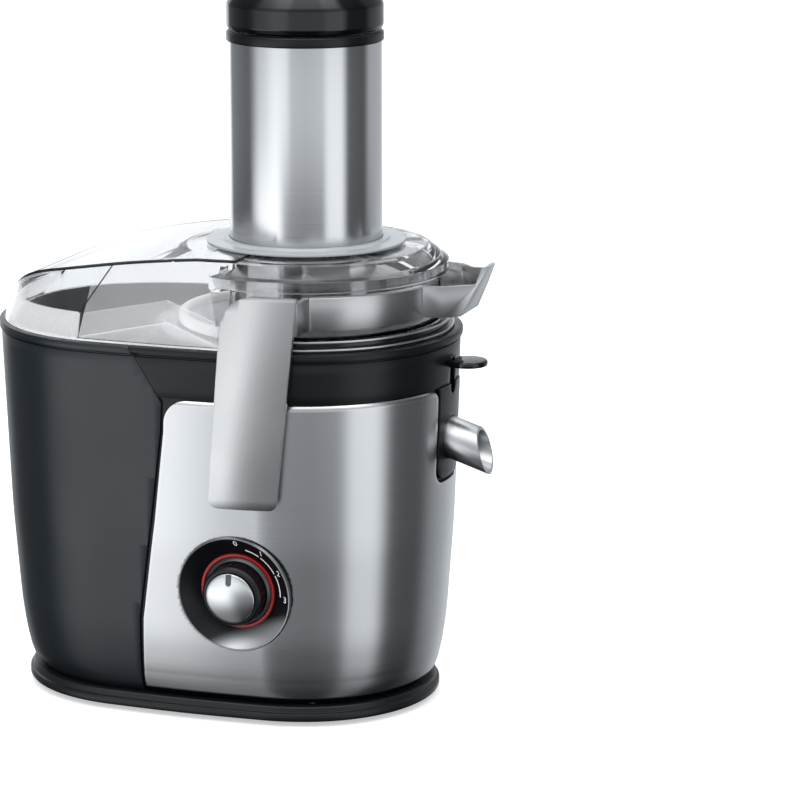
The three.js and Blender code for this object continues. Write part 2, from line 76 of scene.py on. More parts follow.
SPOUT_X, SPOUT_Z, SPOUT_SLOPE = 94.5, 165.5, 18
LEVER_X, LEVER_Z, LEVER_R = 102, 211, 12
SPOUT_R = 12.5
DIAL_HOLE_R = 34.3
BOSS_R = 7.6
LEG_CROWN = 2.6                          # how far the leg's face falls back at its side edges
LEG_BOW = 1.2                            # and at its ends
SIDE_BULGE = 2.6
BULGE_REACH = 78
PANEL_BEND_R = 90
PANEL_BEND = math.pi * PANEL_BEND_R      # length of the steel panel's round end
PANEL_TOP_Z = 199.2
PANEL_CORNER = 14
PANEL_COLUMNS = 300
PRINT_R = 27.3                           # dial arcs
DIGIT_R = 31.2
DIGIT_SIZE = 5.2
PRINT_LIFT = 0.15
CAMERA_BACK = (661.8, -1818.3, 624)      # from the chute axis
CAMERA_AIM = (-0.3145, 0.9493)
CAMERA_PITCH = 12.864
CAMERA_LENS = 146.6
PROFILE = ((FLOOR_Z, 73), (15.5, 77.6), (24, 81.2), (50, 85.2), (110, 89.6), (224, 93.8))


# ---- mesh helpers ----
def linked(name, data):
    obj = bpy.data.objects.new(name, data)
    bpy.context.scene.collection.objects.link(obj)
    return obj


def make(name, verts, faces):
    """A mesh object from points in millimetres round the chute axis."""
    mesh = bpy.data.meshes.new(name)
    mesh.from_pydata([Vector(v) * MM + AXIS for v in verts], [], faces)
    mesh.update()
    return linked(name, mesh)


def outward(obj):
    bm = bmesh.new()
    bm.from_mesh(obj.data)
    bmesh.ops.remove_doubles(bm, verts=bm.verts, dist=1e-7)
    bmesh.ops.recalc_face_normals(bm, faces=bm.faces)
    if bm.calc_volume(signed=True) < 0:
        bmesh.ops.reverse_faces(bm, faces=bm.faces)
    bm.to_mesh(obj.data)
    bm.free()
    return obj


def shade(obj, angle=32):
    """Smooth shading with edges steeper than the angle kept sharp."""
    bm = bmesh.new()
    bm.from_mesh(obj.data)
    for face in bm.faces:
        face.smooth = True
    for edge in bm.edges:
        edge.smooth = len(edge.link_faces) != 2 or edge.calc_face_angle(0) < math.radians(angle)
    bm.to_mesh(obj.data)
    bm.free()
    return obj


def applied(obj):
    """Turns the object's modifiers into plain mesh."""
    graph = bpy.context.evaluated_depsgraph_get()
    mesh = bpy.data.meshes.new_from_object(obj.evaluated_get(graph))
    obj.modifiers.clear()
    old, obj.data = obj.data, mesh
    bpy.data.meshes.remove(old)
    return obj


def boolean(obj, operation, *tools):
    for tool in tools:
        modifier = obj.modifiers.new("cut", "BOOLEAN")
        modifier.operation, modifier.object, modifier.solver = operation, tool, "EXACT"
        applied(obj)
        bpy.data.objects.remove(tool)
    return obj


def cut(obj, *tools):
    return boolean(obj, "DIFFERENCE", *tools)


def join(obj, *tools):
    return boolean(obj, "UNION", *tools)


def within(obj, *tools):
    return boolean(obj, "INTERSECT", *tools)


def join_plain(name, objs):
    """One object from several that don't touch."""
    bm = bmesh.new()
    for obj in objs:
        bm.from_mesh(obj.data)
        bpy.data.objects.remove(obj)
    mesh = bpy.data.meshes.new(name)
    bm.to_mesh(mesh)
    bm.free()
    return linked(name, mesh)


def soften(obj, width=0.5, segments=2, angle=35):
    """Rounds the sharp edges."""
    bevel = obj.modifiers.new("soften", "BEVEL")
    bevel.width, bevel.segments, bevel.limit_method = width * MM, segments, "ANGLE"
    bevel.angle_limit = math.radians(angle)
    bevel.use_clamp_overlap = True
    applied(obj)
    return obj


def arc(cx, cy, radius, start, end, count):
    """Points on an arc, angles in degrees."""
    turns = [math.radians(start + (end - start) * i / count) for i in range(count + 1)]
    return [(cx + radius * math.cos(t), cy + radius * math.sin(t)) for t in turns]


def filleted(points, count=4):
    """Outline points (x, y, fillet radius) as plain points, each corner rounded."""
    out = []
    for i, (x, y, radius) in enumerate(points):
        here = Vector((x, y))
        before = Vector(points[i - 1][:2]) - here
        after = Vector(points[(i + 1) % len(points)][:2]) - here
        if radius <= 0 or before.length < 1e-6 or after.length < 1e-6:
            out.append((x, y))
            continue
        half = before.angle(after) / 2
        reach = min(radius / math.tan(half), before.length * 0.49, after.length * 0.49)
        start, end = here + before.normalized() * reach, here + after.normalized() * reach
        for k in range(count + 1):
            t = k / count
            point = start * (1 - t) ** 2 + here * 2 * t * (1 - t) + end * t * t
            out.append((point.x, point.y))
    return out


def turned(name, profile, segments=128):
    """Solid turned about the chute axis from (radius, height, fillet) points."""
    outline = filleted(profile)
    closed = not (outline[0][0] == 0 and outline[-1][0] == 0)
    rows = len(outline)
    verts = []
    for r, z in outline:
        for k in range(segments):
            turn = 2 * math.pi * k / segments
            verts.append((r * math.cos(turn), r * math.sin(turn), z))
    faces = []
    for i in range(rows if closed else rows - 1):
        j = (i + 1) % rows
        for k in range(segments):
            n = (k + 1) % segments
            faces.append((i * segments + k, i * segments + n, j * segments + n, j * segments + k))
    return outward(make(name, verts, faces))


def disc(radius, z0, z1, segments=96):
    return turned("tool", [(0, z0, 0), (radius, z0, 0), (radius, z1, 0), (0, z1, 0)], segments)


def prism(name, outline, low, high, place):
    """Outline pushed from low to high; place turns (u, v, w) into a point."""
    count = len(outline)
    verts = [place(u, v, low) for u, v in outline] + [place(u, v, high) for u, v in outline]
    faces = [tuple(range(count)), tuple(range(count, 2 * count))]
    faces += [(i, (i + 1) % count, count + (i + 1) % count, count + i) for i in range(count)]
    return outward(make(name, verts, faces))


def flat_prism(name, outline, z0, z1):
    return prism(name, outline, z0, z1, lambda u, v, w: (u, v, w))


def front_prism(name, outline, y0, y1):
    return prism(name, outline, y0, y1, lambda u, v, w: (u, w, v))


def side_prism(name, outline, x0, x1):
    return prism(name, outline, x0, x1, lambda u, v, w: (w, u, v))


def rounded_rect(x0, y0, x1, y1, r):
    return (arc(x1 - r, y0 + r, r, -90, 0, 6) + arc(x1 - r, y1 - r, r, 0, 90, 6)
            + arc(x0 + r, y1 - r, r, 90, 180, 6) + arc(x0 + r, y0 + r, r, 180, 270, 6))


def block(x0, x1, y0, y1, z0, z1):
    return flat_prism("tool", [(x0, y0), (x1, y0), (x1, y1), (x0, y1)], z0, z1)


def transformed(obj, matrix):
    """Moves a mesh by a matrix in millimetres round the chute axis."""
    for vertex in obj.data.vertices:
        point = matrix @ ((vertex.co - AXIS) / MM)
        vertex.co = point * MM + AXIS
    return obj


def along_y(name, profile, x, z, segments=48):
    """Turned solid whose axis runs along Y; profile points are (radius, y, fillet)."""
    matrix = Matrix.Translation((x, 0, z)) @ Matrix.Rotation(math.pi / 2, 4, "X")
    return outward(transformed(turned(name, [(r, -y, f) for r, y, f in profile], segments), matrix))


# ---- oval body ----
def radius_at(z):
    heights, radii = zip(*PROFILE)
    return float(np.interp(z, heights, radii))


def smooth_radius(z):
    """The profile with its corners eased, for the visible skin."""
    reach = min(14, (z - FLOOR_Z) * 0.9 + 0.01)
    samples = [z + reach * k / 6 for k in range(-6, 7)]
    weights = [7 - abs(k) for k in range(-6, 7)]
    ease = sum(w * radius_at(s) for w, s in zip(weights, samples)) / sum(weights)
    return ease if z < RIM_Z - 12 else radius_at(z)


def bulge(x):
    """The long sides swell a little at their middle."""
    share = (x + SPAN / 2) / BULGE_REACH
    return SIDE_BULGE * (1 - share * share) ** 2 if abs(share) < 1 else 0


def oval(radius, turns):
    side = [(-SPAN * i / 16, radius) for i in range(1, 16)]
    ring = arc(0, 0, radius, -90, 90, turns) + side
    ring += [(-SPAN - x, -y) for x, y in ring]
    return [(x, y + math.copysign(bulge(x) * min(1, abs(y) / radius * 1.2), y)) for x, y in ring]


def oval_stack(name, levels, turns=64):
    """Ovals at each (height, radius), joined by walls and capped."""
    verts, faces = [], []
    for z, radius in levels:
        verts += [(x, y, z) for x, y in oval(radius, turns)]
    size = len(verts) // len(levels)
    for i in range(len(levels) - 1):
        for k in range(size):
            n = (k + 1) % size
            faces.append((i * size + k, i * size + n, (i + 1) * size + n, (i + 1) * size + k))
    faces.append(tuple(range(size)))
    faces.append(tuple((len(levels) - 1) * size + k for k in range(size)))
    return outward(make(name, verts, faces))


def heights(z0, z1, step=6):
    count = max(2, round((z1 - z0) / step))
    return [z0 + (z1 - z0) * i / count for i in range(count + 1)]


def skin(name, inset, z0, z1, step=6):
    return oval_stack(name, [(z, smooth_radius(z) - inset) for z in heights(z0, z1, step)])


def rimmed(name, inset, z0):
    """Outer skin with the thin groove and the rounded lip under the rim."""
    edge = radius_at(RIM_Z)
    levels = [(z, smooth_radius(z) - inset) for z in heights(z0, 223.4)]
    levels += [(223.9, edge - inset - 0.2), (224.1, edge - 1.5), (224.7, edge - 1.5), (225, edge + 0.1)]
    levels += [(225.6, edge + 0.7), (227, edge + 0.95), (228.6, edge + 0.9), (229.6, edge + 0.4)]
    levels.append((RIM_Z, edge - 0.3))
    return oval_stack(name, levels)


SEAM = ((-79, 0), (-78, 18), (-76, 62), (-66, 124), (-58, 180), (-57, 197), (-77, RIM_Z), (-80, 236))


def left_of_seam(shift):
    line = [(x + shift, z) for x, z in SEAM]
    return front_prism("tool", [(-300, 0), *line, (-300, 236)], -120, 120)


def right_of_seam(shift):
    line = [(x + shift, z) for x, z in SEAM]
    return front_prism("tool", [(300, 236), *reversed(line), (300, 0)], -120, 120)


DIAL_PLACE = (Matrix.Translation((DIAL_X, -radius_at(DIAL_Z) - bulge(DIAL_X), DIAL_Z))
              @ Matrix.Rotation(math.pi / 2 + math.radians(DIAL_TILT), 4, "X"))
SPOUT_PLACE = (Matrix.Translation((SPOUT_X, 0, SPOUT_Z))
               @ Matrix.Rotation(math.pi / 2 + math.radians(SPOUT_SLOPE), 4, "Y"))


def lever_slot():
    return side_prism("tool", rounded_rect(-4.6, 193.5, 4.6, LEVER_Z + 4.5, 4.4), 70, 110)


def spout_hole(extra):
    return transformed(disc(SPOUT_R + extra, -14, 30), SPOUT_PLACE)


# ---- materials ----
def nodes_of(name, color, rough, metal=0.0, **sockets):
    mat = bpy.data.materials.new(name)
    mat.use_nodes = True
    tree = mat.node_tree
    shader = tree.nodes["Principled BSDF"]
    shader.inputs["Base Color"].default_value = (*color, 1)
    shader.inputs["Roughness"].default_value = rough
    shader.inputs["Metallic"].default_value = metal
    for socket, value in sockets.items():
        shader.inputs[socket.replace("_", " ")].default_value = value
    return mat, tree, shader


def stretched_noise(tree, scale, stretch=(1, 1, 1), detail=3.0):
    place = tree.nodes.new("ShaderNodeTexCoord")
    mapping = tree.nodes.new("ShaderNodeMapping")
    noise = tree.nodes.new("ShaderNodeTexNoise")
    mapping.inputs["Scale"].default_value = stretch
    noise.inputs["Scale"].default_value = scale
    noise.inputs["Detail"].default_value = detail
    tree.links.new(place.outputs["Object"], mapping.inputs["Vector"])
    tree.links.new(mapping.outputs["Vector"], noise.inputs["Vector"])
    return noise.outputs["Fac"]


def ranged(tree, value, low, high):
    node = tree.nodes.new("ShaderNodeMapRange")
    node.inputs["To Min"].default_value = low
    node.inputs["To Max"].default_value = high
    tree.links.new(value, node.inputs["Value"])
    return node.outputs["Result"]


def bumped(tree, shader, value, strength, distance):
    bump = tree.nodes.new("ShaderNodeBump")
    bump.inputs["Strength"].default_value = strength
    bump.inputs["Distance"].default_value = distance
    tree.links.new(value, bump.inputs["Height"])
    tree.links.new(bump.outputs["Normal"], shader.inputs["Normal"])


def tinted(tree, shader, value, dark, light):
    mix = tree.nodes.new("ShaderNodeMix")
    mix.data_type = "RGBA"
    mix.inputs["A"].default_value = (*dark, 1)
    mix.inputs["B"].default_value = (*light, 1)
    tree.links.new(value, mix.inputs["Factor"])
    tree.links.new(mix.outputs["Result"], shader.inputs["Base Color"])


def brushed(name, color, rough, bump=0.12, anisotropy=0.6):
    """Metal brushed round the Z axis: fine level lines."""
    mat, tree, shader = nodes_of(name, color, rough, 1.0, Anisotropic=anisotropy, Anisotropic_Rotation=0.25)
    lines = stretched_noise(tree, 1.0, (12, 12, 3600), 4.0)
    tree.links.new(ranged(tree, lines, rough - 0.04, rough + 0.05), shader.inputs["Roughness"])
    tinted(tree, shader, lines, [c * 0.92 for c in color], [min(1, c * 1.07) for c in color])
    bumped(tree, shader, lines, bump, 0.00002)
    tangent = tree.nodes.new("ShaderNodeTangent")
    tangent.direction_type, tangent.axis = "RADIAL", "Z"
    tree.links.new(tangent.outputs["Tangent"], shader.inputs["Tangent"])
    return mat


def grained(name, color, rough, metal=0.0, grain=2600, bump=0.25, spread=0.1, **sockets):
    """Moulded or painted surface with a fine grain."""
    mat, tree, shader = nodes_of(name, color, rough, metal, **sockets)
    fine = stretched_noise(tree, grain, detail=2.0)
    broad = stretched_noise(tree, 22, detail=4.0)
    tree.links.new(ranged(tree, broad, rough - 0.06, rough + 0.06), shader.inputs["Roughness"])
    tinted(tree, shader, fine, [c * (1 - spread) for c in color], [min(1, c * (1 + spread)) for c in color])
    bumped(tree, shader, fine, bump, 0.00003)
    return mat


def milky(name, color, rough, through):
    """Clear plastic, a little cloudy."""
    mat, tree, shader = nodes_of(name, color, rough, IOR=1.4)
    shader.inputs["Transmission Weight"].default_value = through
    cloud = stretched_noise(tree, 45, detail=5.0)
    tree.links.new(ranged(tree, cloud, rough * 0.8, rough * 1.3), shader.inputs["Roughness"])
    tinted(tree, shader, cloud, [c * 0.97 for c in color], color)
    return mat


def glowing_haze(name, cover):
    """Thin frosted sheet: what lies behind shows through, whitened by a painted glow from its emission."""
    mat, tree, shader = nodes_of(name, (0.9, 0.91, 0.92), 0.3, IOR=1.4, Emission_Strength=0.52)
    frost = stretched_noise(tree, 900, detail=2.0)
    tree.links.new(ranged(tree, frost, cover * 0.8, cover * 1.2), shader.inputs["Alpha"])
    return mat


def faded(name, dark, light, centre, along, reach):
    """Black satin that turns to silver along one direction from a centre."""
    mat, tree, shader = nodes_of(name, dark, 0.3, 0.0, Specular_IOR_Level=0.3)
    place = tree.nodes.new("ShaderNodeTexCoord")
    shift = tree.nodes.new("ShaderNodeVectorMath")
    shift.operation = "SUBTRACT"
    shift.inputs[1].default_value = centre
    dot = tree.nodes.new("ShaderNodeVectorMath")
    dot.operation = "DOT_PRODUCT"
    dot.inputs[1].default_value = along
    tree.links.new(place.outputs["Object"], shift.inputs[0])
    tree.links.new(shift.outputs["Vector"], dot.inputs[0])
    share = tree.nodes.new("ShaderNodeMapRange")
    share.interpolation_type = "SMOOTHSTEP"
    share.inputs["From Min"].default_value, share.inputs["From Max"].default_value = reach
    tree.links.new(dot.outputs["Value"], share.inputs["Value"])
    tinted(tree, shader, share.outputs["Result"], dark, light)
    tree.links.new(ranged(tree, share.outputs["Result"], 0.0, 0.85), shader.inputs["Metallic"])
    grain = stretched_noise(tree, 3000, detail=2.0)
    tree.links.new(ranged(tree, grain, 0.34, 0.44), shader.inputs["Roughness"])
    return mat


def lamination(name, color):
    mat, tree, shader = nodes_of(name, color, 0.4, 0.9)
    stack = stretched_noise(tree, 1.0, (0.1, 0.1, 3000), 1.0)
    tinted(tree, shader, stack, [c * 0.5 for c in color], color)
    bumped(tree, shader, stack, 0.4, 0.0001)
    return mat


M = {
    "steel_panel": brushed("steel_panel", (0.583, 0.59, 0.597), 0.24, 0.06, 0.5),
    "steel_chute": brushed("steel_chute", (0.608, 0.615, 0.622), 0.19, 0.05),
    "steel_bright": grained("steel_bright", (0.568, 0.575, 0.582), 0.32, 1.0, 2600, 0.05, 0.03),
    "steel_mesh": brushed("steel_mesh", (0.6, 0.61, 0.62), 0.3),
    "bar_metal": grained("bar_metal", (0.482, 0.487, 0.49), 0.25, 0.97, 2400, 0.3, 0.07),
    "knob_metal": grained("knob_metal", (0.66, 0.67, 0.68), 0.24, 1.0, 2400, 0.1, 0.04),
    "anthracite": grained("anthracite", (0.013, 0.0185, 0.0235), 0.3, 0.0, 2600, 0.12),
    "black_satin": grained("black_satin", (0.006, 0.0075, 0.009), 0.3, 0.0, 2600, 0.1,
                           Specular_IOR_Level=0.32),
    "black_gloss": grained("black_gloss", (0.006, 0.006, 0.007), 0.08, 0.0, 400, 0.02),
    "base_grey": grained("base_grey", (0.011, 0.0125, 0.014), 0.34, 0.0, 2600, 0.12, Specular_IOR_Level=0.3),
    "collar_plastic": grained("collar_plastic", (0.5, 0.52, 0.54), 0.16, 0.0, 900, 0.05, 0.03),
    "grey_satin": grained("grey_satin", (0.1, 0.105, 0.11), 0.3, 0.5, 1500, 0.1),
    "trim_metal": grained("trim_metal", (0.3, 0.31, 0.32), 0.34, 1.0, 2400, 0.1, 0.05),
    "grey_plastic": grained("grey_plastic", (0.33, 0.34, 0.36), 0.4, 0.0, 900, 0.1),
    "smoke_plastic": grained("smoke_plastic", (0.2, 0.21, 0.22), 0.28, 0.0, 900, 0.1),
    "clear_lid": milky("clear_lid", (0.8, 0.81, 0.82), 0.01, 1.0),
    # The haze sheets glow from their emission: painted light.
    "haze_thin": glowing_haze("haze_thin", 0.17),
    "haze_thick": glowing_haze("haze_thick", 0.3),
    "haze_bright": glowing_haze("haze_bright", 0.44),
    # dial_fade: black towards the upper left, silver towards the lower right; the dark band it keeps beside
    # the red ring is painted shade.
    "dial_fade": faded("dial_fade", (0.006, 0.0075, 0.009), (0.6, 0.61, 0.62),
                       Vector((DIAL_X, -radius_at(DIAL_Z), DIAL_Z)) * MM + AXIS, (0.37, 0, -0.93),
                       (0.02, 0.032)),
    # white_plastic glows from its emission: painted light on top of its own white.
    "white_plastic": grained("white_plastic", (0.85, 0.85, 0.845), 0.3, 0.0, 900, 0.06, 0.02,
                             Emission_Strength=0.25),
    "red_plastic": grained("red_plastic", (0.42, 0.008, 0.01), 0.28, 0.0, 900, 0.05),
    "rubber": grained("rubber", (0.018, 0.018, 0.019), 0.8, 0.0, 1500, 0.4),
    "motor_iron": lamination("motor_iron", (0.25, 0.25, 0.26)),
    "copper": grained("copper", (0.6, 0.27, 0.13), 0.35, 0.9, 900, 0.3),
    "board": grained("board", (0.02, 0.12, 0.06), 0.4, 0.0, 300, 0.2, 0.3),
    "carbon": grained("carbon", (0.03, 0.03, 0.03), 0.7),
    # print_white glows from its emission: painted light on top of the print's own white.
    "print_white": grained("print_white", (0.85, 0.85, 0.85), 0.5, 0.0, 900, 0.02, 0.02,
                           Emission_Strength=0.35),
}
BODY_OF = {node: body for body, names in frame["record"]["behaviour"]["bodies"].items() for node in names}
SLOT_OF = {row["node"]: row["material_slot"] for row in frame["record"]["subparts"]}


def finished(obj, node, look=None, replaces=True, edge=0.4, angle=32):
    """Gives a new piece its edges, shading, material and body."""
    if edge:
        soften(obj, edge)
    shade(obj, angle)
    obj.data.materials.clear()
    obj.data.materials.append(M[look or SLOT_OF[node]])
    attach(obj, BODY_OF[node])
    if replaces:
        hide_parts(node)
    return obj


def added(obj, node, look, edge=0):
    """Finishes a piece that stands beside its CAD node and doesn't replace it."""
    return finished(obj, node, look, replaces=False, edge=edge)


# ---- motor side ----
def bare_panel(u, z, inset):
    """Point of the steel skin: u runs along the front, round the right end and along the back."""
    radius = smooth_radius(z) - inset
    if u < 0:
        return (u, -radius - bulge(u), z)
    if u > PANEL_BEND:
        return (PANEL_BEND - u, radius + bulge(PANEL_BEND - u), z)
    turn = -math.pi / 2 + u / PANEL_BEND_R
    x, y = radius * math.cos(turn), radius * math.sin(turn)
    return (x, y + math.copysign(bulge(x) * min(1, abs(y) / radius * 1.2), y), z)


def panel_left(z):
    """Left edge of the steel panel, with its large top corner."""
    line = [(17, -75.6), (62, -73), (124, -63), (180, -55.6), (200, -54.8)]
    edge = float(np.interp(z, *zip(*line)))
    if z > PANEL_TOP_Z - PANEL_CORNER:
        lean = PANEL_CORNER - (PANEL_TOP_Z - z)
        edge += PANEL_CORNER - math.sqrt(max(0, PANEL_CORNER * PANEL_CORNER - lean * lean))
    return edge


def panel_hole(u, z):
    """Below zero inside the dial hole or the spout window, whose top corners flare out."""
    inside = (Vector((u, z)) - Vector((DIAL_X, DIAL_Z))).length - DIAL_HOLE_R if u < 60 else 99
    flare = 7 - math.sqrt(max(0, 49 - max(0, z - 192.2) ** 2))
    dy, dz = abs(u - PANEL_BEND / 2) - 11.5 - flare, 149.6 - z
    corner = math.hypot(max(dy, 0), max(dz, 0)) + min(max(dy, dz), 0) - 9
    return min(inside, corner)


def eased(u, z):
    """Moves a point beside an opening onto its edge."""
    for _ in range(6):
        value, step = panel_hole(u, z), 0.05
        gu = (panel_hole(u + step, z) - panel_hole(u - step, z)) / (2 * step)
        gz = (panel_hole(u, z + step) - panel_hole(u, z - step)) / (2 * step)
        scale = max(0.3, gu * gu + gz * gz)
        u, z = u - value * gu / scale, z - value * gz / scale
    return u, z


def panel_grid():
    """Rows of points (u, z) from the panel's front edge to its edge at the back."""
    rows = [17 + 168 * i / 150 for i in range(151)]
    rows += [PANEL_TOP_Z - PANEL_CORNER + PANEL_CORNER * math.sin(math.pi / 2 * i / 24) for i in range(1, 25)]
    half, middle = PANEL_COLUMNS // 2, PANEL_BEND / 2
    grid = []
    for z in rows:
        left = panel_left(z)
        front = [left + (middle - left) * (i / half) for i in range(half + 1)]
        back = [middle + (PANEL_BEND - left - middle) * (i / half - 1) for i in range(half + 1, 2 * half + 1)]
        grid.append([(u, z) for u in front + back])
    return grid


def panel_sheet():
    """The panel's outer face, its vertices at the openings moved onto their edges."""
    grid = panel_grid()
    kept = [[panel_hole(u, z) > 0 for u, z in line] for line in grid]
    bm = bmesh.new()
    verts = {}
    for i, line in enumerate(grid):
        for k, (u, z) in enumerate(line):
            near = [kept[a][b] for a in range(max(0, i - 1), min(len(grid), i + 2))
                    for b in range(max(0, k - 1), min(PANEL_COLUMNS + 1, k + 2))]
            if kept[i][k] and not all(near) and 17.5 < z < 199:
                u, z = eased(u, z)
            if kept[i][k]:
                lean = 1.3 * (max(0, z - 196.2) / 3) ** 2
                verts[i, k] = bm.verts.new(Vector(bare_panel(u, z, lean - 0.1)) * MM + AXIS)
    for i in range(len(grid) - 1):
        for k in range(PANEL_COLUMNS):
            corners = [(i, k), (i, k + 1), (i + 1, k + 1), (i + 1, k)]
            if all(c in verts for c in corners):
                bm.faces.new([verts[c] for c in corners])
    mesh = bpy.data.meshes.new("panel")
    bm.to_mesh(mesh)
    bm.free()
    return mesh


def front_panel():
    obj = linked("steel_front_panel", panel_sheet())
    thick = obj.modifiers.new("thick", "SOLIDIFY")
    thick.thickness, thick.offset = 1.6 * MM, -1
    applied(obj)
    return finished(outward(obj), "front_panel", edge=0.55, angle=40)


def vent_slots():
    """Two rows of cooling slots through the underside."""
    return [block(x - 3, x + 3, y, y + 26, -1, 18) for x in range(-24, 25, 12) for y in (40, -66)]


def motor_housing():
    body = within(skin("motor_housing_shell", 2.2, FLOOR_Z + GAP, BAND_Z),
                  join(right_of_seam(GAP), disc(HOUSING_R, 0, 240)))
    core = [(FLOOR_Z + WALL, DECK_Z - WALL), (DECK_Z, BAND_Z + 1)]
    for z0, z1 in core:
        hollow = skin("tool", 2.2 + WALL, z0, z1)
        cut(body, within(hollow, join(right_of_seam(WALL), disc(HOUSING_R - WALL, 0, 240))))
    cut(body, disc(9, DECK_Z - 10, DECK_Z + 10), transformed(disc(DIAL_HOLE_R, -12, 6), DIAL_PLACE),
        spout_hole(0.6),
        along_y("tool", [(0, -110, 0), (5.3, -110, 0), (5.3, 110, 0), (0, 110, 0)], PIVOT_X, PIVOT_Z),
        along_y("tool", [(0, 60, 0), (8, 60, 0), (8, 110, 0), (0, 110, 0)], 20, 40), lever_slot())
    cut(body, *vent_slots())
    return finished(body, "motor_housing", edge=0)


def upper_band():
    band = rimmed("rim_band", 0.5, BAND_Z + GAP)
    within(band, right_of_seam(GAP))
    cut(band, skin("tool", 5, BAND_Z - 1, RIM_Z + 2), lever_slot())
    return finished(band, "upper_band", edge=0.35)


def spout_panel():
    plate = skin("spout_surround", -0.3, 134, BAND_Z)
    within(plate, side_prism("tool", rounded_rect(-18.5, 142.8, 18.5, 240, 8), 40, 140))
    cut(plate, skin("tool", 1.9, 133, BAND_Z + 1), spout_hole(GAP), lever_slot())
    return finished(plate, "spout_panel", edge=0.4)


def pulp_container():
    tub = within(rimmed("pulp_tub", 0.5, FLOOR_Z + GAP), left_of_seam(0))
    cut(tub, disc(89, 0, 240, 160))
    hollow = within(skin("tool", 3.4, FLOOR_Z + WALL + GAP, RIM_Z + 6), left_of_seam(-2.6))
    cut(tub, cut(hollow, disc(91.6, 0, 260, 160)))
    grip = filleted([(-200, 87, 0), (-188.5, 85, 0), (-185.4, 81, 3), (-185, 70, 4), (-186.6, 66, 2),
                     (-200, 64, 0)])
    cut(tub, front_prism("tool", grip, -34, 34))
    return finished(tub, "pulp_container", edge=0.5)


def base_plate():
    plate = oval_stack("base_flange", [(3, 79.4), (3.6, 80.4), (4.4, 80.8), (7.4, 80.8), (8, 80.5),
                                       (8.3, 79.4), (8.6, 78.8), (11.2, 78.7), (FLOOR_Z, 78)])
    cut(plate, oval_stack("tool", [(0, 76), (6, 76)]))
    cut(plate, *vent_slots())
    return finished(plate, "base_plate", edge=0.2)


front_panel()
motor_housing()
upper_band()
spout_panel()
pulp_container()
base_plate()


# ---- bowl, spout, drip stop ----
def spout():
    tube = turned("steel_spout", [(10.7, -7.5, 0), (SPOUT_R, -7.5, 0), (SPOUT_R, 34, 0), (10.7, 34, 0)], 96)
    transformed(tube, SPOUT_PLACE)
    cut(tube, front_prism("tool", [(107.6, 182), (118.6, 138), (160, 138), (160, 182)], -40, 40),
        front_prism("tool", [(60, 130), (86.2, 130), (86.2, 200), (60, 200)], -40, 40))
    return finished(tube, "spout_nozzle", edge=0.3)


def lever():
    tab = turned("drip_stop_tab", [(0, LEVER_Z, 0), (LEVER_R, LEVER_Z, 1.2), (LEVER_R, LEVER_Z + 3.6, 1.4),
                                   (0, LEVER_Z + 3.6, 0)], 64)
    transformed(tab, Matrix.Translation((LEVER_X, 0, 0)))
    within(tab, block(94.4, 130, -20, 20, LEVER_Z - 2, LEVER_Z + 6))
    join(tab, block(84, 97, -3.2, 3.2, LEVER_Z - 1.5, LEVER_Z + 2.6))
    return finished(tab, "drip_stop_lever", edge=0.4)


def bowl():
    cup = turned("juice_bowl_body", [(18, 152.3, 0), (74, 152.3, 3), (82, 162, 4), (82, 225.4, 1),
                                     (88.5, 226.4, 0.5), (88.5, RIM_Z, 0.4), (78, RIM_Z, 0.4), (78, 163, 3),
                                     (71, 155, 3), (20.5, 155, 2), (20.5, 182, 0.5), (18, 182, 0.5)], 144)
    cut(cup, block(70, 90, -6.5, 6.5, 163, 176))
    return finished(cup, "juice_bowl", edge=0)


def rim_ring():
    # The clear flange ring is made black gloss: painted shade for the dark inside seen through it.
    bead = turned("bowl_rim_bead", [(81, 230.3, 0.2), (89.4, 230.3, 0.4), (89, 231.8, 0.6), (86.2, 232, 0.4),
                                    (86.6, 235.2, 1.4), (84.6, 236.8, 1), (81.4, 236.4, 0.8)], 160)
    within(bead, block(-15, 120, -120, 120, 200, 260))
    finished(bead, "bowl_rim_ring", "black_gloss", edge=0)
    # Two thin steel rings stand in for the highlight lines on the clear flange: painted highlights.
    for label, radius, z in (("upper", 86.3, 235.8), ("lower", 88.9, 231.6)):
        highlight_wire = turned(f"bowl_highlight_trim_{label}", [(radius - 0.6, z - 0.5, 0.2), (radius + 0.5, z - 0.5, 0.2),
                                             (radius + 0.5, z + 0.6, 0.3), (radius - 0.6, z + 0.6, 0.3)], 160)
        within(highlight_wire, block(-14, 120, -120, 120, 200, 260))
        added(highlight_wire, "bowl_rim_ring", "steel_bright")
    # A black gloss band fills the gap under the bar: painted shade.
    gap_shade = turned("bowl_gap_shade", [(77.3, 230.2, 0), (77.9, 230.2, 0), (77.9, 242.6, 0.2),
                                    (77.3, 242.6, 0.2)], 160)
    within(gap_shade, block(-8, 120, -120, 120, 200, 260))
    added(gap_shade, "bowl_rim_ring", "black_gloss")


def strainer():
    hub = turned("strainer_hub", [(13, 160, 0.3), (16, 160, 0.3), (16, 185.7, 0.4), (13.6, 185.7, 0),
                                  (13.6, 190, 1), (9, 197, 4), (0, 198.5, 0), (0, 180, 0),
                                  (13, 180, 0.4)], 64)
    finished(hub, "basket_hub", edge=0)
    rim = turned("strainer_rim", [(71.5, 232.3, 0.3), (77, 232.3, 0.5), (77, 238, 1.6), (72.6, 238, 1.2),
                                  (71.5, 236.4, 0.6)], 144)
    finished(rim, "basket_rim", edge=0)
    cone = turned("strainer_cone", [(14, 186, 0), (48, 186, 2), (74, 231.6, 0), (74, 232, 0), (72.6, 232, 0),
                                    (47.2, 187.2, 2), (14, 187.2, 0)], 128)
    finished(cone, "filter_basket", edge=0)


spout()
lever()
bowl()
rim_ring()
strainer()


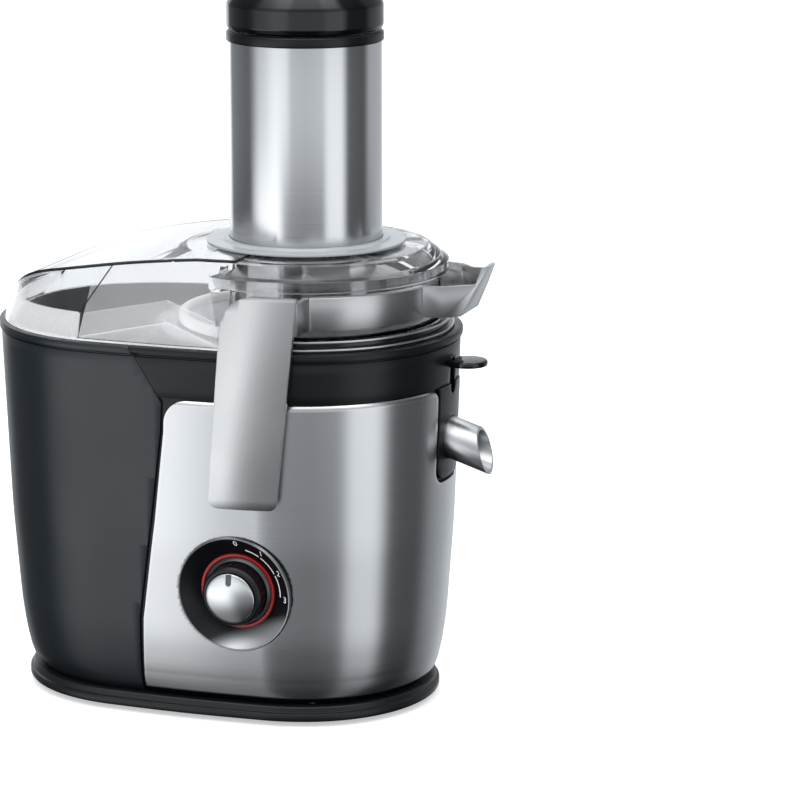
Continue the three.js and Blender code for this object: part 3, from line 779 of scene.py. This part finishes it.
# ---- lid, chute, pusher ----
def roof_line(inset, bottom):
    line = [(-190 + inset, bottom), (-188.4 + inset, 231)]
    start, a, b, end = (Vector(p) for p in ((-188.4 + inset, 231), (-180 + inset, 245),
                                            (-172 + inset, 262 - inset), (-132, 269 - inset)))
    for k in range(1, 25):
        t = k / 24
        point = start * (1 - t) ** 3 + a * 3 * t * (1 - t) ** 2 + b * 3 * t * t * (1 - t) + end * t ** 3
        line.append(tuple(point))
    mid, stop = Vector((-90, 277.6 - inset)), Vector((-40, 281 - inset))
    for k in range(1, 13):
        t = k / 12
        line.append(tuple(end * (1 - t) ** 2 + mid * 2 * t * (1 - t) + stop * t * t))
    return line + [(-16 - inset, 281 - inset), (-16 - inset, bottom)]


def hood(inset, bottom):
    walls = oval_stack("tool", [(bottom, 91.2 - inset), (262, 80.5 - inset), (290, 72 - inset)])
    return within(walls, front_prism("tool", roof_line(inset, bottom), -120, 120))


def lid():
    low = RIM_Z + GAP
    neck = turned("clear_lid_dome", [(0, low, 0), (NECK_R, low, 0), (NECK_R, 263.6, 0.5),
                                     (BRIM_R, 264.6, 0.6), (BRIM_R, 271, 0.8), (76.6, 278.6, 1),
                                     (73.6, 280, 1), (0, 280.4, 0)], 160)
    inner = LID_WALL
    core = turned("tool", [(0, 220, 0), (NECK_R - inner, 220, 0), (NECK_R - inner, 270, 2), (74, 275.6, 1),
                           (72, 277.8, 1), (0, 278.2, 0)], 160)
    join(neck, hood(0, low))
    cut(neck, join(core, hood(inner, 220)), disc(TUBE_R + GAP, 250, 300))
    return finished(neck, "lid_dome", edge=0.3)


GUIDE = ((-112.7, -88), (-75.6, -37), (-24, -86))
GUIDE_SKIRT_Z = 245
FOLD_TOP_X = -94


def guide_sheet(name, z0, z1, thick):
    """Folded upright sheet inside the hood, in plan a V from the front wall and back to it."""
    (x0, y0), (x1, y1), (x2, y2) = ((x, y) for x, y in GUIDE)
    plan = [(x0 - 8, y0 - 9), (x1, y1 + thick), (x2 + 8, y2 - 8), (x2 + 8 - thick, y2 - 8 - thick),
            (x1, y1 - thick * 0.4), (x0 - 8 + thick * 1.4, y0 - 9)]
    sheet = flat_prism(name, plan, z0, z1)
    return within(sheet, hood(LID_WALL + 0.3, 220))


def lid_guide():
    low = RIM_Z + 0.6
    upper = guide_sheet("lid_guide_upper", GUIDE_SKIRT_Z, 280, 1.2)
    added(upper, "lid_dome", "haze_thin", 0.15)
    lower = guide_sheet("lid_guide_lower", low, GUIDE_SKIRT_Z, 1.6)
    added(lower, "lid_dome", "haze_thick", 0.2)
    ledge = flat_prism("lid_guide_ledge", [(-140, -120), *GUIDE, (0, -120)], low, low + 1)
    within(ledge, hood(LID_WALL + 0.3, 220))
    added(ledge, "lid_dome", "haze_thick", 0.15)
    # The skirt is a glowing haze sheet just inside the hood's lower wall: painted light that whitens that part
    # of the hood.
    skirt = within(hood(LID_WALL + 0.2, low), block(-220, GUIDE[0][0], -130, -20, low, GUIDE_SKIRT_Z))
    cut(skirt, hood(LID_WALL + 1.2, 220))
    added(skirt, "lid_dome", "haze_bright", 0.15)


def roof_height(x):
    """Height of the hood's roof, from its own profile."""
    line = [point for point in roof_line(0, 230) if point[1] > 231]
    return float(np.interp(x, [point[0] for point in line], [point[1] for point in line]))


def on_wall(x, z, side, depth=1.0):
    """Point in the thickness of the hood's upright wall."""
    radius = float(np.interp(z, (230.3, 262, 290), (91.2, 80.5, 72))) - depth
    reach = max(0, -SPAN - x)
    return x, side * (math.sqrt(radius ** 2 - reach ** 2) + bulge(x)), z


def tube_along(name, path, radius, sides=8):
    """Round rod along a path of points."""
    verts, faces = [], []
    for i, point in enumerate(path):
        here = Vector(point)
        ahead = (Vector(path[min(i + 1, len(path) - 1)]) - Vector(path[max(i - 1, 0)])).normalized()
        across = ahead.cross(Vector((0, 0, 1))).normalized()
        above = across.cross(ahead)
        for k in range(sides):
            turn = 2 * math.pi * k / sides
            verts.append(here + radius * (math.cos(turn) * across + math.sin(turn) * above))
    for i in range(len(path) - 1):
        for k in range(sides):
            n = (k + 1) % sides
            faces.append((i * sides + k, i * sides + n, (i + 1) * sides + n, (i + 1) * sides + k))
    faces += [tuple(range(sides)), tuple((len(path) - 1) * sides + k for k in range(sides))]
    return outward(make(name, verts, faces))


def painted_lid_shade_lines():
    """Black rods as painted shade for the dark lines that the folded edges of the clear lid show."""
    for side, label in ((-1, "front"), (1, "rear")):
        path = []
        for i in range(60):
            x = -20 - 132 * i / 59
            path.append(on_wall(x, roof_height(x) - 1.0, side))
        line = tube_along(f"lid_shade_edge_{label}", path, 0.55)
        added(line, "lid_dome", "black_gloss")
    # The fold across the front wall gets a black rod too: painted shade.
    x0, z0 = GUIDE[0][0], GUIDE_SKIRT_Z
    x1, z1 = FOLD_TOP_X, roof_height(FOLD_TOP_X) - 2
    fold = [on_wall(x0 + (x1 - x0) * i / 11, z0 + (z1 - z0) * i / 11, -1, 2.8) for i in range(12)]
    added(tube_along("lid_fold_shade_line", fold, 0.42), "lid_dome", "black_gloss")


def chute():
    collar = turned("chute_collar", [(TUBE_R + GAP, 281.3, 0), (60, 281.3, 0.5), (60, 283, 0.6),
                                     (51, 283.2, 0.4), (50, 284.4, 0.4), (CHUTE_R + GAP, 284.4, 0.2),
                                     (CHUTE_R + GAP, 283.4, 0), (TUBE_R + GAP, 283.4, 0)], 128)
    finished(collar, "lid_collar", "collar_plastic", edge=0)
    cone = turned("collar_skirt", [(46.8, 281, 0), (53, 274.4, 0.2), (54, 274.8, 0.2), (48.6, 281, 0)], 128)
    added(cone, "lid_collar", "smoke_plastic")
    turns = [Matrix.Rotation(math.radians(4.2 * i), 4, "Z") for i in (*range(-33, -22), *range(-14, -4))]
    # Black blocks set through the collar's cone: painted shade for its vent openings.
    vent_shades = [transformed(block(49.6, 53.2, -0.7, 0.7, 276.6, 278.2), turn) for turn in turns]
    vent_shade_row = join_plain("collar_vent_shade", vent_shades)
    added(vent_shade_row, "lid_collar", "black_satin")
    tube = turned("inner_feed_tube", [(TUBE_BORE_R, 198, 0.4), (TUBE_R, 198, 0.4), (TUBE_R, CHUTE_TOP_Z, 0),
                                      (TUBE_BORE_R, CHUTE_TOP_Z, 0)], 128)
    finished(tube, "feed_tube", "steel_chute", edge=0)
    sleeve = turned("steel_chute_sleeve", [(TUBE_R + GAP, 283.7, 0.2), (CHUTE_R, 283.7, 0.4),
                                           (CHUTE_R, CHUTE_TOP_Z, 0.3), (TUBE_R + GAP, CHUTE_TOP_Z, 0)], 192)
    finished(sleeve, "chute_sleeve", edge=0)
    z = CHUTE_TOP_Z + GAP
    rim = turned("chute_rim_ring", [(TUBE_BORE_R, z, 0), (47, z, 0.4), (47, z + 5.7, 1.6),
                                    (TUBE_BORE_R, z + 5.7, 1.2)], 128)
    finished(rim, "chute_rim", edge=0)
    body = turned("pusher_shaft", [(0, 286, 0), (41.3, 286, 3), (41.3, 408, 0), (38.6, 408, 0),
                                   (38.6, 290, 2), (0, 289, 0)], 128)
    finished(body, "pusher_body", edge=0)
    cap = turned("pusher_grip", [(0, 409.3, 0), (46, 409.3, 1), (47, 412, 2), (47, 424, 6), (43, 432, 5),
                                 (34, TOP_Z, 4), (24, 430, 5), (0, 429, 0)], 128)
    finished(cap, "pusher_cap", edge=0)


lid()
lid_guide()
painted_lid_shade_lines()
chute()


# ---- locking bar ----
def leg_drop(x, z):
    """How far the leg's outer face falls back from flat."""
    across = (x - 0.17 * (z - 200) + 6) / 22
    return LEG_CROWN * across ** 2 / (1 + 0.35 * abs(across)) + LEG_BOW * ((z - 225) / 80) ** 2


def leg(side):
    """Flat bail leg, its outer face crowned across and bowed along."""
    outline = filleted([(-15.4, 265, 26), (30, 265, 1), (30, 262, 1), (16, 138, 6), (-25.6, 138, 6)], 8)
    near, far = side * BAR_Y, side * (BAR_Y + BAR_THICK)
    plate = front_prism("locking_bail" if side < 0 else "tool", outline, min(near, far), max(near, far))
    crowned = []
    for i in range(49):
        x = -30 + 64 * i / 48
        crowned.append([(x, side * (BAR_Y + BAR_THICK - leg_drop(x, z)), z) for z in heights(130, 270, 7)])
    rows, columns = len(crowned), len(crowned[0])
    verts = [p for row in crowned for p in row] + [(p[0], side * 90, p[2]) for row in crowned for p in row]
    faces = []
    for layer in (0, rows * columns):
        faces += [(layer + i * columns + k, layer + i * columns + k + 1, layer + (i + 1) * columns + k + 1,
                   layer + (i + 1) * columns + k) for i in range(rows - 1) for k in range(columns - 1)]
    edge = ([i * columns for i in range(rows)] + [(rows - 1) * columns + k for k in range(1, columns)]
            + [i * columns + columns - 1 for i in range(rows - 2, -1, -1)] + list(range(columns - 2, 0, -1)))
    lower = rows * columns
    faces += [(edge[i], edge[(i + 1) % len(edge)], edge[(i + 1) % len(edge)] + lower, edge[i] + lower)
              for i in range(len(edge))]
    return within(plate, outward(make("tool", verts, faces)))


def lip(inset, low, high):
    """Pouring-lip shape of the bar, moved in by inset: level in front, rising towards its tip at the rear."""
    i = inset
    foot, tip = [(70, low), (103 - i, low + 1), (117 - i, 273)], [(113.5 - i, 272.4)]
    front = [*foot, *tip, (110.5, 262.6), (70, 262)]
    rear = [*foot, *tip, (108, 268.4), (99, 267.2), (90, 268.4), (70, 269.5)]
    if inset:
        front = rear = [(70, low - 9), (101.4 - i, low - 9), *foot[1:], (117, high), (70, high)]
    half = [(93 - i * 0.5, 24 - i * 0.9), (111 - i * 0.5, 13 - i * 0.9), (118 - i * 0.5, 6 - i * 0.9)]
    plan = [(70, -24 + i), *[(x, -y) for x, y in half], *reversed(half), (70, 24 - i)]
    sides = join(front_prism("tool", front, -40, 0.01), front_prism("tool", rear, 0, 40))
    return within(sides, flat_prism("tool", plan, low - 10, high + 5))


def locking_bar():
    bar = leg(-1)
    ring = turned("tool", [(81.3, 244.6, 0), (82.4, 244, 0), (84.8, 242.2, 0), (85, 261.4, 0),
                           (84.2, 262.2, 0), (81.6, 262.2, 0)], 160)
    within(ring, block(27, 130, -120, 120, 230, 280))
    join(ring, lip(0, 243, 276))
    cut(ring, lip(2.6, 243, 300), disc(81.3, 230, 300, 160))
    for side in (-1, 1):
        near, far = side * 77.5, side * (BAR_Y + 2)
        join(ring, block(27, 30.4, min(near, far), max(near, far), 243, 262.2))
    join(bar, ring, leg(1))
    return finished(bar, "locking_bar", edge=0.7)


locking_bar()
for side, node in ((-1, "bar_boss_front"), (1, "bar_boss_rear")):
    y0, y1 = sorted((side * 90, side * (BAR_Y - GAP)))
    profile = [(0, y0, 0), (BOSS_R, y0, 0.4), (BOSS_R, y1, 0.4), (0, y1, 0)]
    boss = along_y(f"hinge_{node[4:]}", profile, PIVOT_X, PIVOT_Z + 1)
    finished(boss, node, edge=0)


# ---- dial ----
def on_dial(obj):
    return outward(transformed(obj, DIAL_PLACE))


def cone_height(radius):
    """Height of the recess's sloping wall above the dial's plane."""
    return float(np.interp(radius, (23.6, 34.2), (-6.6, 1.3)))


def dial():
    bezel = turned("dial_recess", [(3.4, -8.8, 0), (34, -8.8, 0), (34, 0.5, 0), (35.4, 0.5, 0.2),
                                   (35, 1.6, 0.2), (34.4, 1.5, 0.1), (23.6, -6.6, 0.4),
                                   (3.4, -6.6, 0)], 128)
    finished(on_dial(bezel), "dial_bezel", "dial_fade", edge=0)
    trim = turned("dial_trim", [(34.3, 1.4, 0), (35.6, 0.3, 0.1), (35.8, 0.9, 0.3), (35.1, 2.2, 0.3),
                                (34.3, 2, 0.2)], 128)
    added(on_dial(trim), "dial_bezel", "trim_metal")
    ring = turned("dial_red_band", [(21.2, -6.3, 0), (23.2, -6.3, 0), (23.2, -4.6, 0.5),
                                    (21.2, -4.6, 0.5)], 96)
    finished(on_dial(ring), "dial_red_ring", edge=0)
    base = turned("dial_inner_ring", [(18.9, -6.4, 0), (21, -6.4, 0), (20.9, -5.2, 0.3), (19, -3.4, 0.3)], 96)
    added(on_dial(base), "dial_bezel", "grey_satin")
    skirt = turned("knob_grip", [(0, -5.9, 0), (18.6, -5.9, 0.4), (18.5, 5.2, 0.8), (17.2, 6.6, 0.6),
                                 (15.5, 6.8, 0.2), (15.5, 2, 0), (0, 2, 0)], 96)
    for i in range(24):
        turn = Matrix.Rotation(i * math.pi / 12, 4, "Z")
        cut(skirt, transformed(block(18.1, 20, -0.35, 0.35, -3, 4.6), turn))
    finished(on_dial(skirt), "knob_skirt", edge=0)
    dome = [(14.6 - 1.46 * i, 10.9 - (14.6 - 1.46 * i) ** 2 / 100, 0) for i in range(11)]
    face = turned("knob_cap", [(0, 2.3, 0), (15.2, 2.3, 0), (15.2, 8.4, 0.6), *dome], 96)
    slot = rounded_rect(-1.75, 8.2, 1.75, 18, 1.7)
    cut(face, flat_prism("tool", slot, 8.2, 14))
    finished(on_dial(face), "knob_face", edge=0.15)
    sunk = [(r, z - 0.35, 0) for r, z, _ in dome]
    mark = turned("knob_pointer_inlay", [(0, 7.9, 0), (15, 7.9, 0), (15, 8.1, 0.3), *sunk], 96)
    within(mark, flat_prism("tool", rounded_rect(-1.7, 8.25, 1.7, 18, 1.65), 7.9, 14))
    finished(on_dial(mark), "knob_pointer", "grey_satin", edge=0.1)


def print_arc(name, radius, start, end):
    """Thin printed line on the recess, angles clockwise from the top."""
    verts, faces, count = [], [], 24
    for i in range(count + 1):
        turn = math.radians(90 - (start + (end - start) * i / count))
        for r in (radius - 0.42, radius + 0.42):
            verts.append((r * math.cos(turn), r * math.sin(turn), cone_height(r) + PRINT_LIFT))
    for i in range(count):
        faces.append((2 * i, 2 * i + 1, 2 * i + 3, 2 * i + 2))
    obj = transformed(make(name, verts, faces), DIAL_PLACE)
    return added(obj, "dial_bezel", "print_white")


def print_digit(name, text, radius, angle):
    curve = bpy.data.curves.new(name, "FONT")
    curve.body, curve.size, curve.align_x, curve.align_y = text, DIGIT_SIZE, "CENTER", "CENTER"
    curve.extrude, curve.offset = 0.02, 0.01
    obj = linked(name, curve)
    glyph = bpy.data.meshes.new_from_object(obj.evaluated_get(bpy.context.evaluated_depsgraph_get()))
    bpy.data.objects.remove(obj)
    turn = math.radians(90 - angle)
    centre = Vector((radius * math.cos(turn), radius * math.sin(turn)))
    verts = []
    for v in glyph.vertices:
        x, y = centre.x + v.co.x, centre.y + v.co.y
        verts.append((x, y, cone_height(math.hypot(x, y)) + PRINT_LIFT + v.co.z))
    faces = [tuple(p.vertices) for p in glyph.polygons]
    made = transformed(make(name, verts, faces), DIAL_PLACE)
    return added(made, "dial_bezel", "print_white")


dial()
for number, (start, end) in enumerate(((13, 32), (34.5, 61), (63.5, 92))):
    print_arc(f"dial_arc_{number + 1}", PRINT_R, start, end)
for text, angle in (("0", 2), ("1", 33), ("2", 62), ("3", 93)):
    print_digit(f"dial_number_{text}", text, DIGIT_R, angle)

# ---- remaining CAD nodes get their materials ----
for node, obj in frame["nodes"].items():
    if obj.hide_render:
        continue
    obj.data.materials.clear()
    obj.data.materials.append(M[SLOT_OF[node]])


# ---- camera, light, floor ----
def camera():
    data = bpy.data.cameras.new("camera")
    data.lens, data.sensor_width = CAMERA_LENS, 36
    obj = linked("camera", data)
    obj.location = Vector(CAMERA_BACK) * MM + AXIS
    pitch = math.radians(CAMERA_PITCH)
    aim = Vector((CAMERA_AIM[0] * math.cos(pitch), CAMERA_AIM[1] * math.cos(pitch), -math.sin(pitch)))
    obj.rotation_euler = aim.to_track_quat("-Z", "Y").to_euler()
    bpy.context.scene.camera = obj


# Studio round the object: (degrees to the right of the camera's side, level seen by the chute, by the body).
STUDIO = ((-180, 1.5, 0.7), (-152, 1.7, 0.6), (-142, 0.35, 0.15), (-92, 0.2, 0.13), (-84, 0.4, 1.3),
          (-74, 0.95, 2.0), (-63, 1.12, 2.1), (-52, 1.45, 2.1), (-45, 1.6, 2.1), (-40, 1.6, 1.6),
          (-36, 1.6, 0.98), (-32, 1.6, 0.52), (-28, 1.55, 0.37), (-21, 1.0, 0.34), (0, 0.95, 0.28),
          (25, 1.02, 0.37),
          (33.5, 1.45, 1.4), (55, 1.45, 1.5), (66, 0.21, 0.14), (98, 0.14, 0.12), (110, 0.6, 0.35),
          (152, 0.62, 0.8), (180, 1.5, 0.7))
# Share of that level: (upward part of the direction, share).
SLOPE = ((-1, 0.1), (-0.62, 0.15), (-0.48, 0.58), (-0.38, 0.87), (-0.28, 1), (-0.03, 1), (0.08, 0.62),
         (0.42, 0.55), (0.6, 1.1), (0.8, 2.1), (1, 2.2))
LEVEL_MAX = 2.1
SLOPE_MAX = 2.2
BODY_BELOW, CHUTE_ABOVE = -0.24, -0.155  # upward part: the body's column below, the chute's above


def ramp_of(tree, value, stops):
    ramp = tree.nodes.new("ShaderNodeValToRGB")
    elements = ramp.color_ramp.elements
    while len(elements) > 1:
        elements.remove(elements[0])
    for i, (place, level) in enumerate(stops):
        stop = elements[0] if i == 0 else elements.new(place)
        stop.position = place
        stop.color = (level * (0.93 + 0.07 * level), level * (0.965 + 0.035 * level), level, 1)
    tree.links.new(value, ramp.inputs["Fac"])
    return ramp.outputs["Color"]


def math_node(tree, operation, *values):
    node = tree.nodes.new("ShaderNodeMath")
    node.operation = operation
    for socket, value in zip(node.inputs, values):
        if isinstance(value, (int, float)):
            socket.default_value = value
        else:
            tree.links.new(value, socket)
    return node.outputs["Value"]


def color_mix(tree, blend, first, second):
    """Mix node of two colours, its factor left to the caller."""
    node = tree.nodes.new("ShaderNodeMix")
    node.data_type, node.blend_type = "RGBA", blend
    tree.links.new(first, node.inputs["A"])
    tree.links.new(second, node.inputs["B"])
    return node


def light_direction(tree):
    """Direction split into X, Y, Z with the camera's side at minus Y."""
    place, turn = tree.nodes.new("ShaderNodeTexCoord"), tree.nodes.new("ShaderNodeVectorRotate")
    split = tree.nodes.new("ShaderNodeSeparateXYZ")
    turn.rotation_type = "Z_AXIS"
    turn.inputs["Angle"].default_value = -math.atan2(CAMERA_BACK[0], -CAMERA_BACK[1])
    tree.links.new(place.outputs["Generated"], turn.inputs["Vector"])
    tree.links.new(turn.outputs["Vector"], split.inputs["Vector"])
    return split.outputs


def level_round(tree, direction):
    """Level by the angle round the object: the body's column low down, the chute's above."""
    back = math_node(tree, "MULTIPLY", direction["Y"], -1)
    angle = math_node(tree, "ARCTAN2", direction["X"], back)
    share = math_node(tree, "MULTIPLY_ADD", angle, 0.5 / math.pi, 0.5)
    high = ramp_of(tree, share, [((d + 180) / 360, level / LEVEL_MAX) for d, level, _ in STUDIO])
    low = ramp_of(tree, share, [((d + 180) / 360, level / LEVEL_MAX) for d, _, level in STUDIO])
    blend = tree.nodes.new("ShaderNodeMapRange")
    blend.inputs["From Min"].default_value = BODY_BELOW
    blend.inputs["From Max"].default_value = CHUTE_ABOVE
    mix = color_mix(tree, "MIX", low, high)
    tree.links.new(direction["Z"], blend.inputs["Value"])
    tree.links.new(blend.outputs["Result"], mix.inputs["Factor"])
    return mix.outputs["Result"]


def studio():
    world = bpy.data.worlds.new("studio")
    bpy.context.scene.world = world
    world.use_nodes = True
    tree = world.node_tree
    tree.nodes.clear()
    direction = light_direction(tree)
    rise = math_node(tree, "MULTIPLY_ADD", direction["Z"], 0.5, 0.5)
    slope = ramp_of(tree, rise, [((z + 1) / 2, level / SLOPE_MAX) for z, level in SLOPE])
    scaled = color_mix(tree, "MULTIPLY", level_round(tree, direction), slope)
    scaled.inputs["Factor"].default_value = 1
    background, output = tree.nodes.new("ShaderNodeBackground"), tree.nodes.new("ShaderNodeOutputWorld")
    background.inputs["Strength"].default_value = LEVEL_MAX * SLOPE_MAX
    tree.links.new(scaled.outputs["Result"], background.inputs["Color"])
    tree.links.new(background.outputs["Background"], output.inputs["Surface"])


def glowing(name, level, rough=0.6):
    mat, tree, shader = nodes_of(name, (0.8, 0.8, 0.8), rough)
    shader.inputs["Emission Color"].default_value = (1, 1, 1, 1)
    shader.inputs["Emission Strength"].default_value = level
    return mat


def stage_piece(name, mesh, material):
    """Floor or backdrop: seen directly and through the clear parts, never mirrored in the metal."""
    obj = linked(name, mesh)
    mesh.materials.append(material)
    obj.visible_glossy = False
    obj.visible_diffuse = False
    return obj


def stage():
    floor = bpy.data.meshes.new("floor")
    floor.from_pydata([(-6, -6, 0), (6, -6, 0), (6, 6, 0), (-6, 6, 0)], [], [(0, 1, 2, 3)])
    stage_piece("floor", floor, glowing("floor", 0.5))
    bm = bmesh.new()
    bmesh.ops.create_uvsphere(bm, u_segments=32, v_segments=16, radius=9)
    dome = bpy.data.meshes.new("backdrop")
    bm.to_mesh(dome)
    bm.free()
    stage_piece("backdrop", dome, glowing("backdrop", 1.0)).visible_shadow = False


camera()
studio()
stage()
bpy.context.scene.view_settings.view_transform = "Standard"
